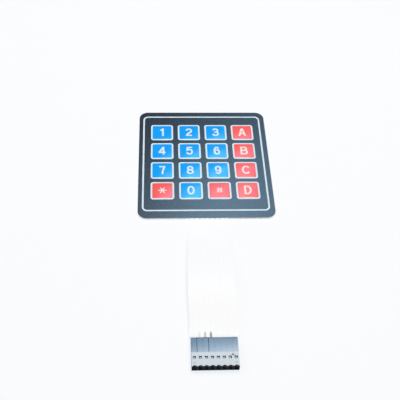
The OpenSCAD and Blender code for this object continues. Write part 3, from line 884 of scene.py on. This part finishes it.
# %% Tail curve
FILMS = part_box("rear_adhesive")[1].z
FILM_T, SPACER_T = 0.13 * MM, 0.15 * MM
TAIL_FLAT, TAIL_ARCH, TAIL_ROOT = 2 * MM, 4.2 * MM, 1 * MM
ARCH_SKEW, TAIL_FLARE = 1.2, 0.6
TAIL_STEPS, ACROSS_STEPS, ROOT_STEPS, TONGUE_STEPS = 160, 16, 6, 8
TONGUE = 1.345 * MM
TONGUE_L, SHOULDER_GAP, SHOULDER_SLOPE = 6.2 * MM, 0.8 * MM, 0.2 * MM
ROOT_Y = -KEYPAD_H / 2 + TAIL_ROOT
CURVE_Y = -KEYPAD_H / 2 - TAIL_FLAT
REAR_Y = HOUSING_REAR * MM
HALF_ROOT, HALF_END, HALF_TONGUE = 10.2 * MM, 10.7 * MM, 9.7 * MM


def tail_rise(t):
    """Height of the tail's underside: a smooth step t^2 (3 - 2t) from the keypad's level to the
    housing's, plus an arch (1 - cos(2 pi t^skew)) / 2."""
    step = (TONGUE - FILMS) * t * t * (3 - 2 * t)
    return FILMS + step + TAIL_ARCH * (1 - np.cos(2 * pi * t ** ARCH_SKEW)) / 2


def tail_side(lift):
    """Side view of one level of the tail, (n, 2) along y and z: the curve's points moved square to it
    by the lift, between a level root in the keypad and a level tongue in the housing."""
    t = np.linspace(0, 1, TAIL_STEPS + 1)
    y, z = CURVE_Y - t * (CURVE_Y - REAR_Y), tail_rise(t)
    slope = np.gradient(z, -y)
    size = np.hypot(1, slope)
    curve = np.stack([y + lift * slope / size, z + lift / size], -1)
    root_y = np.linspace(ROOT_Y, CURVE_Y, ROOT_STEPS + 1)[:-1]
    tongue_y = np.linspace(REAR_Y, REAR_Y - TONGUE_L, TONGUE_STEPS + 1)[1:]
    root = np.stack([root_y, np.full(ROOT_STEPS, FILMS + lift)], -1)
    tongue = np.stack([tongue_y, np.full(TONGUE_STEPS, TONGUE + lift)], -1)
    return np.concatenate([root, curve, tongue])[::-1]


def tail_half(y):
    """Half width: widens from the keypad to part of the way, then steps in to the tongue."""
    flare_y = CURVE_Y - TAIL_FLARE * (CURVE_Y - REAR_Y)
    shoulder = REAR_Y + SHOULDER_GAP
    marks = [REAR_Y - TONGUE_L, shoulder - SHOULDER_SLOPE, shoulder, flare_y, CURVE_Y, ROOT_Y]
    return np.interp(y, marks, [HALF_TONGUE, HALF_TONGUE, HALF_END, HALF_END, HALF_ROOT, HALF_ROOT])


def tail_grid(lift):
    """Grid across and along the tail at one level."""
    side, across = tail_side(lift), np.linspace(-1, 1, ACROSS_STEPS + 1)[:, None]
    x = across * tail_half(side[:, 0])
    return np.stack([x, np.broadcast_to(side[:, 0], x.shape), np.broadcast_to(side[:, 1], x.shape)], -1)


def plate_grid(z):
    """Grid over the keypad's outline at one height."""
    ends = end_rows(KEYPAD_H / 2, CORNER_R, 12)[1:]
    ys = np.concatenate([-ends[::-1], np.linspace(-flat_end, flat_end, 9), ends])
    plan = rounded_grid(np.linspace(-KEYPAD_W / 2, KEYPAD_W / 2, 9), ys, KEYPAD_W, KEYPAD_H, CORNER_R)
    return np.concatenate([plan, np.full((*plan.shape[:2], 1), z)], -1)


level = 0.0
for name, thickness, finish, slot in (("lower_circuit_film", FILM_T, lower_finish, "circuit_film"),
                                      ("circuit_spacer", SPACER_T, spacer_finish, "spacer_film"),
                                      ("upper_circuit_film", FILM_T, upper_finish, "circuit_film")):
    plate = shell(plate_grid(FILMS + level + thickness), plate_grid(FILMS + level))
    tail = shell(tail_grid(level + thickness), tail_grid(level))
    add_piece(f"{name}_sheet", [plate, tail], finish, slot, name)
    level += thickness

# %% [markdown]
# ## Socket housing
#
# The CAD housing has every cut of the moulded part, with knife-sharp edges. A real mould leaves tiny
# rounds, and they catch the light. So a copy of the CAD mesh is welded, its flats are joined again,
# and a Bevel modifier rounds each sharp edge. The rear part has seven grooves, of which the mould leaves
# two clear and the rest faint, so the points in the faint ones are lifted.

# %% Welded copy
def welded_copy(node, name):
    """Copy of a CAD node's mesh as one closed skin: equal points merged, coplanar faces dissolved."""
    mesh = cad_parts[node].data.copy()
    mesh.name = name
    skin = bmesh.new()
    skin.from_mesh(mesh)
    bmesh.ops.remove_doubles(skin, verts=skin.verts, dist=1e-6)
    bmesh.ops.dissolve_limit(skin, angle_limit=radians(1), verts=skin.verts, edges=skin.edges)
    open_edges = sum(not edge.is_manifold for edge in skin.edges)
    skin.to_mesh(mesh)
    skin.free()
    print(name, "faces", len(mesh.polygons), "open edges", open_edges)
    return mesh


housing_mesh = welded_copy("socket_housing", "moulded_housing")

# %% Grooves
# From left to right, the share of its depth that each groove keeps.
GROOVE_SHARES = np.array([1, 0.12, 0.85, 0.1, 0.1, 0.1, 0.1])
OUTER_GROOVE = len(GROOVE_SHARES) // 2
FRONT_PART = 6.9
STEP_Y, STEP_Z, REAR_FALL = (HOUSING_FRONT + FRONT_PART) * MM, 3.4 * MM, 0.3 * MM
GROOVE_REACH, GROOVE_HALF, GROOVE_END = 0.06 * MM, 0.2 * MM, 0.42 * MM


def in_grooves(points):
    """For points as one flat list of coordinates, says which lie in a groove, how far below the plane of
    the rear part's upper face each one is, and the share of depth that its groove keeps. That plane
    falls evenly from the step to the rear edge."""
    x, y, z = points.reshape(-1, 3).T
    below = STEP_Z - REAR_FALL * (y - STEP_Y) / (REAR_Y - STEP_Y) - z
    number = np.clip(np.rint(x / PIN_PITCH), -OUTER_GROOVE, OUTER_GROOVE)
    inside = (abs(x - number * PIN_PITCH) < GROOVE_HALF) & (y > STEP_Y - GROOVE_REACH)
    inside &= (below > 1e-6) & (below < GROOVE_REACH)
    return inside, below, GROOVE_SHARES[(number + OUTER_GROOVE).astype(int)]


def soften_grooves(mesh):
    """Lifts the points of each groove towards the plane above it, because the mould leaves some grooves
    clear and others faint."""
    points = np.zeros(len(mesh.vertices) * 3)
    mesh.vertices.foreach_get("co", points)
    inside, below, share = in_grooves(points)
    points[2::3] += np.where(inside, below * (1 - share), 0)
    mesh.vertices.foreach_set("co", points)
    print("groove points moved:", int(inside.sum()))


def cut_across(mesh, places):
    """Splits the faces that cross each place in Y. Near the grooves' ends this keeps the smooth shading
    of the ends from running along the whole of a groove."""
    made = bmesh.new()
    made.from_mesh(mesh)
    for place in places:
        geometry = [*made.verts, *made.edges, *made.faces]
        bmesh.ops.bisect_plane(made, geom=geometry, dist=1e-7, plane_co=(0, place, 0), plane_no=(0, 1, 0))
    made.to_mesh(mesh)
    made.free()


soften_grooves(housing_mesh)
cut_across(housing_mesh, (STEP_Y + GROOVE_REACH, REAR_Y - GROOVE_END))

# %% Rounded housing
EDGE_ROUND = 0.045 * MM
housing_mesh.polygons.foreach_set("use_smooth", np.ones(len(housing_mesh.polygons), bool))
housing_mesh.materials.clear()
housing_mesh.materials.append(housing_finish)
housing_mesh.set_sharp_from_angle(angle=radians(25))
housing = bpy.data.objects.new("moulded_housing", housing_mesh)
bpy.context.scene.collection.objects.link(housing)
rounding = housing.modifiers.new("rounded_edges", "BEVEL")
rounding.width, rounding.segments = EDGE_ROUND, 2
rounding.limit_method, rounding.angle_limit = "ANGLE", radians(40)
evening = housing.modifiers.new("even_shading", "WEIGHTED_NORMAL")
evening.weight, evening.keep_sharp = 100, True
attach(housing, "root")
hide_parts("socket_housing")
print(housing.name, "edges rounded by mm:", EDGE_ROUND / MM)

# %% [markdown]
# ## Finishes of the CAD nodes that stay
#
# The backing, the adhesives, the silver tracks and the contacts have the right shape already. They keep
# their CAD meshes and get their finishes. A node that a finer piece replaces gets that piece's finish.

# %% Finishes of the CAD nodes
node_finish = {
    "release_liner": paper_finish, "rear_adhesive": glue_finish, "lower_circuit_film": lower_finish,
    "column_tracks": ink_finish, "circuit_spacer": spacer_finish, "row_tracks": ink_finish,
    "upper_circuit_film": upper_finish, "overlay_adhesive": glue_finish, "overlay_film": overlay_finish,
    "border_line": white_finish, "key_frames": white_finish, "blue_key_fields": blue_finish,
    "red_key_fields": red_finish, "socket_housing": housing_finish}
node_finish |= {f"contact_{pin}": metal_finish for pin in range(1, PINS + 1)}
for name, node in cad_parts.items():
    node.data.materials.clear()
    node.data.materials.append(node_finish[name])
print("finished nodes:", len(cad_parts))
